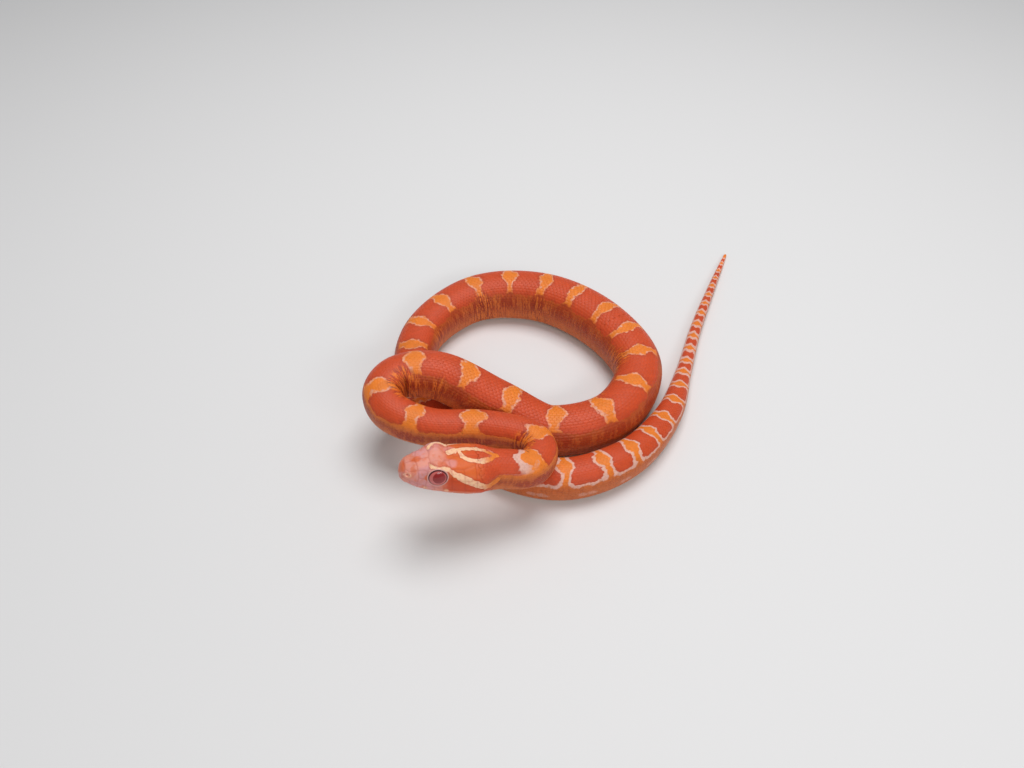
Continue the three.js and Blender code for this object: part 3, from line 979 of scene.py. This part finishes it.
def body_colour(r, count, around):
    """Saddles with narrow pale borders, orange gaps, dark flank blotches, painted shade in the creases of
    skin folds, and a pale belly.
    """
    v = abs(around) + r.waver(1000.0, 0.1, offset=0.3)
    drift = r.waver(260.0, 0.3, detail=1.0)
    from_gap = r.math("PINGPONG", count + drift + r.waver(1100.0, 0.12), 0.5)
    # How far a place is part of the neck, nape, rear of the body or tail, by its count of saddles.
    neck = r.ramp(4.6, 3.4, count)
    nape = r.ramp(0.0, -0.2, count)
    rear = r.ramp(22.5, 26.0, count)
    tail = r.ramp(31.0, 34.0, count)
    # Saddles: wider apart on top of the back, and cut off low on the flank.
    gap_size = 0.2 - r.ramp(0.02, 0.17, v) * 0.105 + rear * 0.03 + tail * 0.05
    gap_size = gap_size + r.ramp(0.0, -0.1, count) * 0.11
    lower_edge = 0.3 + rear * 0.04 + neck * 0.05
    edge = r.math("SMOOTH_MIN", from_gap - gap_size, (lower_edge - v) * 1.5, 0.22)
    saddle = r.over("saddle", ("blotch", r.ramp(0.12, 0.01, edge) * 0.35))
    # Flank: a dark band with darker blotches in front, and pale spots under the saddles towards the tail.
    below_band = v - (0.25 + neck * 0.17)
    band = r.ramp(-0.03, 0.06, below_band) * r.ramp(0.62, 0.46, v)
    blotch = r.ramp(1.15, 0.75, r.oval(from_gap, below_band, (0.0, 0.12), (0.34, 0.12)))
    dark = r.math("MAXIMUM", band * 0.75, blotch * 0.9, clamp=True) * (1.0 - rear * 0.8)
    spot = r.ramp(1.1, 0.6, r.oval(0.5 - from_gap, v, (0.1, 0.56), (0.12, 0.04)))
    # Borders: thin and broken on the back in front, wide and whole on the nape and towards the tail.
    width = 0.014 + rear * 0.014 + tail * 0.05 + nape * 0.03
    border = r.ramp(0.022, 0.0, abs(edge + 0.014) - width)
    broken = 0.12 + r.ramp(0.4, 0.56, r.noise(1500.0, offset=0.6)) * 0.5
    front = r.math("MAXIMUM", r.ramp(0.28, 0.14, v) * broken, nape * r.ramp(0.36, 0.22, v))
    shown = r.add("ShaderNodeMix", {"Factor": rear, "A": front, "B": r.ramp(0.52, 0.46, v) * 0.95})
    # Streaks round the body: orange lines and painted shade in the creases where a bend squeezes the skin,
    # faint ones low on the flank.
    streak_place = r.pair(count * 15.0, around * 2.4)
    streaks = r.add("ShaderNodeTexNoise", {"Vector": streak_place, "Scale": 1.6, "Detail": 2.0})
    squeezed = r.ramp(0.13, 0.34, r.attribute("fold"))
    low = r.ramp(0.28, 0.4, v) * r.ramp(0.74, 0.66, v)
    return r.over(
        "gap",
        ("flank", r.ramp(0.28, 0.42, v)),
        ("blotch", dark),
        ("border", spot * rear * 0.5),
        (saddle, r.ramp(-0.004, 0.016, edge)),
        ("border", border * shown),
        ("gap", r.ramp(0.5, 0.58, streaks) * squeezed * 0.95),
        # Painted shade in the creases where a bend squeezes the skin.
        ("fold", r.ramp(0.5, 0.42, streaks) * squeezed * 0.75),
        ("flank", r.ramp(0.5, 0.62, streaks) * low * 0.55),
        ("fold", r.ramp(0.5, 0.38, streaks) * low * 0.2),
        ("belly", r.ramp(0.7, 0.78, v)),
    )


def head_colour(r, count, around, body):
    """Pink snout, orange crown, a cream stripe from the brow to the jaw, and a cream loop on the crown."""
    share = count - (NAPE - 1)
    x = share * HEAD_LENGTH + r.waver(1700.0, 0.45, offset=0.7)
    y = around * HEAD_ROUND + r.waver(1700.0, 0.35, offset=0.2)
    side = abs(y)
    mottle = r.noise(900.0, 3.0, offset=0.5)
    cloud = r.noise(420.0, offset=0.9)
    pink = r.over(
        "snout",
        ("lilac", r.ramp(0.42, 0.62, cloud)),
        ("crown", r.ramp(0.5, 0.66, mottle) * 0.5),
    )
    crown = r.over("crown", ("saddle", r.ramp(8.6, 10.6, x)))
    cheek = r.ramp(5.0, 5.9, x) * r.ramp(2.3, 2.8, side) * r.ramp(4.9, 4.4, side)
    lip = r.ramp(4.5, 4.8, side) * r.ramp(10.4, 9.6, x)
    patches = [
        (colour, r.ramp(*fade, r.oval(x, side, middle, radii)) * strength)
        for colour, middle, radii, fade, strength in HEAD_PATCHES
    ]
    off_nostril = abs(r.oval(x, side, (0.85, 2.74), (0.4, 0.36)) - 1.0)
    in_loop = r.ramp(1.1, 0.7, r.oval(x, y, (9.6, -0.15), (1.9, 0.6)))
    marks = r.stroke(r.pair(x, side), BROW_STRIPE) - (0.12 + r.ramp(4.8, 8.0, x) * 0.3)
    place = r.pair(x, y)
    for points, half_width in CROWN_MARKS:
        marks = r.math("MINIMUM", marks, r.stroke(place, points) - half_width)
    pale = r.over(
        "cream",
        ("snout", r.ramp(0.52, 0.64, r.noise(2300.0, offset=0.4)) * 0.5),
        ("gap", r.ramp(9.4, 11.4, x)),
    )
    return r.over(
        pink,
        (crown, r.ramp(5.8, 8.0, x + cloud * 3.0)),
        ("saddle", cheek * 0.9),
        ("snout", lip * 0.5),
        *patches,
        ("cream", r.ramp(0.4, 0.15, off_nostril) * 0.5),
        ("belly", r.ramp(5.5, 6.2, side)),
        (body, r.ramp(0.87, 0.97, share + mottle * 0.05)),
        ("saddle", in_loop * 0.7),
        ("blotch", r.ramp(0.2, 0.06, marks) * 0.45),
        (pale, r.ramp(0.07, -0.02, marks)),
    )


def skin_material():
    """The markings of the whole snake, shared by the skin and its scales, with painted shade in the grooves
    of the head and the creases of skin folds.
    """
    if "snake_skin" in bpy.data.materials:
        return bpy.data.materials["snake_skin"]
    r = Recipe("snake_skin")
    lie = r.add("ShaderNodeUVMap", uv_map="Lie")
    count, around = (r.add("ShaderNodeSeparateXYZ", {0: lie}, output=k) for k in (0, 1))
    body = body_colour(r, count, around)
    head = head_colour(r, count, around, body)
    colour = r.over(head, (body, r.ramp(NAPE - 0.02, NAPE + 0.02, count)))
    light = r.attribute("tone") * 0.05 + r.waver(2600.0, 0.18, 3.0, 0.1) + 1.0
    colour = r.arrow("SCALE", colour, Scale=light)
    # Painted shade: the grooves between the head's plates are darkened with the blotch colour.
    colour = r.over(colour, ("blotch", r.attribute("groove") * 0.3))
    grain = {"Strength": 0.25, "Distance": 0.00002, "Height": r.noise(9000.0)}
    return r.finish(colour, Normal=r.add("ShaderNodeBump", grain), **SKIN_FINISH)


def ring_material():
    if "eye_ring_skin" in bpy.data.materials:
        return bpy.data.materials["eye_ring_skin"]
    r = Recipe("eye_ring_skin")
    return r.finish(r.over("lilac", ("border", r.noise(1500.0))), Roughness=0.38)


def eye_material(side, word):
    """A deep red eye: dark rim, red iris and a darker round pupil, under a clear glossy spectacle."""
    radius = bpy.context.scene.snake_eye.radius
    r = Recipe("eye_" + word)
    middle, out = eye_frame(side)
    off_pupil = r.off_axis(middle + PUPIL_SHIFT, out) / radius + r.waver(3500.0, 0.12, 3.0)
    off_middle = r.off_axis(middle, out) / radius
    colour = r.over(
        "pupil",
        ("iris", r.ramp(0.54, 0.63, off_pupil)),
        ("eye_rim", r.ramp(0.74, 0.81, off_middle)),
    )
    return r.finish(colour, **EYE_FINISH)


class SNAKE_OT_studio(bpy.types.Operator):
    """A plain pale floor, soft lights and the camera"""

    bl_idname = "snake.studio"
    bl_label = "Studio"

    def execute(self, context):
        studio = context.scene.snake_studio
        bm = bmesh.new()
        bmesh.ops.create_grid(bm, x_segments=1, y_segments=1, size=studio.floor_half)
        mesh = mesh_from(bm, "studio_floor")
        mesh.materials.append(Recipe("studio_paper").finish((*studio.floor_colour, 1.0), Roughness=0.7))
        linked("studio_floor", mesh)
        world = bpy.data.worlds.new("studio_air")
        context.scene.world = world
        context.scene.view_settings.view_transform = "Standard"
        world.use_nodes = True
        air = world.node_tree.nodes["Background"].inputs
        air["Color"].default_value = (*studio.air_colour, 1.0)
        air["Strength"].default_value = studio.air_light
        self.light("overhead_light", studio.overhead_place, (0.2, 0.2), studio.overhead_light)
        self.light("front_light", studio.front_place, (0.2, 0.05), studio.front_light)
        data = bpy.data.cameras.new("camera")
        data.lens = studio.lens
        data.clip_start = 0.005
        camera = linked("camera", data)
        camera.location = studio.camera_place
        camera.rotation_euler = (studio.camera_tilt, 0.0, 0.0)
        context.scene.camera = camera
        return {"FINISHED"}

    def light(self, name, place, size, power):
        data = bpy.data.lights.new(name, "AREA")
        data.shape = "RECTANGLE"
        data.size, data.size_y = size
        data.energy = power
        lamp = linked(name, data)
        lamp.location = place
        lamp.rotation_euler = (-Vector(place)).to_track_quat("-Z", "Y").to_euler()


def paint(*shade):
    """A colour as the eye sees it, from 0 to 255, as light."""
    return tuple(((c / 255 + 0.055) / 1.055) ** 2.4 for c in shade)


def amount(name, description, default, **settings):
    return bpy.props.FloatProperty(name=name, description=description, default=default, **settings)


def measure(name, description, default_mm):
    return amount(name, description, default_mm * MM, unit="LENGTH", precision=6)


def angle_property(name, description, degrees):
    return amount(name, description, math.radians(degrees), subtype="ANGLE")


def triple(name, description, default, **settings):
    return bpy.props.FloatVectorProperty(
        name=name, description=description, size=3, default=default, **settings
    )


def tint(name, description, *shade):
    return triple(name, description, paint(*shade), min=0.0, max=1.0, subtype="COLOR")


class SnakeBody(bpy.types.PropertyGroup):
    scale_depth: measure("Scale depth", "How far the skin lies under the outside of the scales", 0.09)


class SnakeHead(bpy.types.PropertyGroup):
    plate_groove: measure("Plate groove", "Depth of the grooves between the head's plates", 0.04)
    mouth_depth: measure("Mouth depth", "Depth of the line of the closed mouth", 0.16)
    lip_swell: measure("Lip swell", "How far the lips stand out beside the mouth", 0.07)


class SnakeEye(bpy.types.PropertyGroup):
    at: amount("Place", "Share of the head before the eye", EYE_AT)
    side: measure("Sideways", "Distance of the eye's middle from the middle of the head", 2.0)
    up: measure("Upward", "Height of the eye over the middle line of the head", 1.15)
    tilt: angle_property("Tilt", "Upward look", 12)
    turn: angle_property("Turn", "Forward look", 6)
    radius: measure("Radius", "Radius of the eye seen from the side", 1.33)
    depth: measure("Depth", "Half thickness of the eye from inside to outside", 0.92)
    opening: measure("Opening", "Radius of the opening in the skin", 1.22)
    rim_level: measure("Rim level", "How far out along the eye its rim of skin lies", 0.42)
    ring: measure("Ring", "Half width of the ring of small scales round the eye", 0.09)


class SnakeScales(bpy.types.PropertyGroup):
    overlap: amount("Overlap", "Length of a scale in rows", 1.5)
    fill: amount("Fill", "Width of a scale in columns", 0.72)
    thickness: measure("Thickness", "Thickness of a scale", 0.022)
    lift: measure("Lift", "How far a scale's tip stands off", 0.028)


class SnakeColours(bpy.types.PropertyGroup):
    saddle: tint("Saddle", "Saddles on the back", 210, 76, 36)
    gap: tint("Gap", "Orange between the saddles", 240, 126, 40)
    border: tint("Border", "Pale edges of the saddles", 234, 178, 160)
    flank: tint("Flank", "Sides of the body", 212, 108, 52)
    blotch: tint("Blotch", "Dark blotches on the sides", 170, 58, 28)
    fold: tint("Fold", "Shadowed skin in the folds", 148, 46, 24)
    belly: tint("Belly", "Underside", 238, 200, 172)
    snout: tint("Snout", "Pink of the snout and lips", 226, 146, 126)
    crown: tint("Crown", "Orange of the head", 218, 100, 40)
    lilac: tint("Lilac", "Lilac patches on the snout", 218, 150, 148)
    cream: tint("Cream", "Pale stripe and loop on the head", 246, 196, 156)
    iris: tint("Iris", "Ring round the pupil", 204, 98, 92)
    pupil: tint("Pupil", "Pupil of the eye", 146, 12, 10)
    eye_rim: tint("Eye rim", "Dark edge of the eye", 80, 8, 24)


class SnakeStudio(bpy.types.PropertyGroup):
    floor_half: amount("Floor", "Half the width of the floor", 3.0, unit="LENGTH")
    floor_colour: tint("Floor colour", "Colour of the floor", 226, 225, 225)
    air_colour: triple("Air colour", "Colour of the even light", (0.97, 0.985, 1.0), subtype="COLOR")
    air_light: amount("Air light", "Strength of the even light", 0.33)
    overhead_light: amount("Overhead light", "Power of the overhead light", 0.64, unit="POWER")
    overhead_place: triple("Overhead place", "Place of the overhead light", (0.02, 0.05, 0.3), unit="LENGTH")
    front_light: amount("Front light", "Power of the front light", 0.22, unit="POWER")
    front_place: triple("Front place", "Place of the front light", (0.102, -0.243, 0.186), unit="LENGTH")
    lens: amount("Lens", "Focal length in mm", 28.0)
    camera_place: triple("Camera place", "Where it stands", (-0.0096, -0.090647, 0.088247), unit="LENGTH")
    camera_tilt: angle_property("Camera tilt", "Turn up from straight down", 45)


class SNAKE_PT_panel(bpy.types.Panel):
    """Sizes, colours and pieces of the snake"""

    bl_label = "Corn Snake"
    bl_idname = "SNAKE_PT_panel"
    bl_space_type = "VIEW_3D"
    bl_region_type = "UI"
    bl_category = "Corn Snake"

    def draw(self, context):
        for operator in OPERATORS:
            self.layout.operator(operator.bl_idname)
        for name, group in GROUPS.items():
            box = self.layout.box()
            for key in group.__annotations__:
                box.prop(getattr(context.scene, name), key)


GROUPS = {
    "snake_body": SnakeBody,
    "snake_head": SnakeHead,
    "snake_eye": SnakeEye,
    "snake_scales": SnakeScales,
    "snake_colours": SnakeColours,
    "snake_studio": SnakeStudio,
}
OPERATORS = (SNAKE_OT_studio, SNAKE_OT_skin, SNAKE_OT_eyes, SNAKE_OT_scales, SNAKE_OT_belly)


def register():
    for group in GROUPS.values():
        bpy.utils.register_class(group)
    for operator in OPERATORS:
        bpy.utils.register_class(operator)
    bpy.utils.register_class(SNAKE_PT_panel)
    for name, group in GROUPS.items():
        setattr(bpy.types.Scene, name, bpy.props.PointerProperty(type=group))


def unregister():
    for name in GROUPS:
        delattr(bpy.types.Scene, name)
    bpy.utils.unregister_class(SNAKE_PT_panel)
    for operator in reversed(OPERATORS):
        bpy.utils.unregister_class(operator)
    for group in reversed(list(GROUPS.values())):
        bpy.utils.unregister_class(group)


def main():
    register()
    bpy.ops.snake.studio()
    bpy.ops.snake.skin()
    bpy.ops.snake.eyes()
    bpy.ops.snake.scales()
    bpy.ops.snake.belly()


if __name__ == "__main__":
    main()
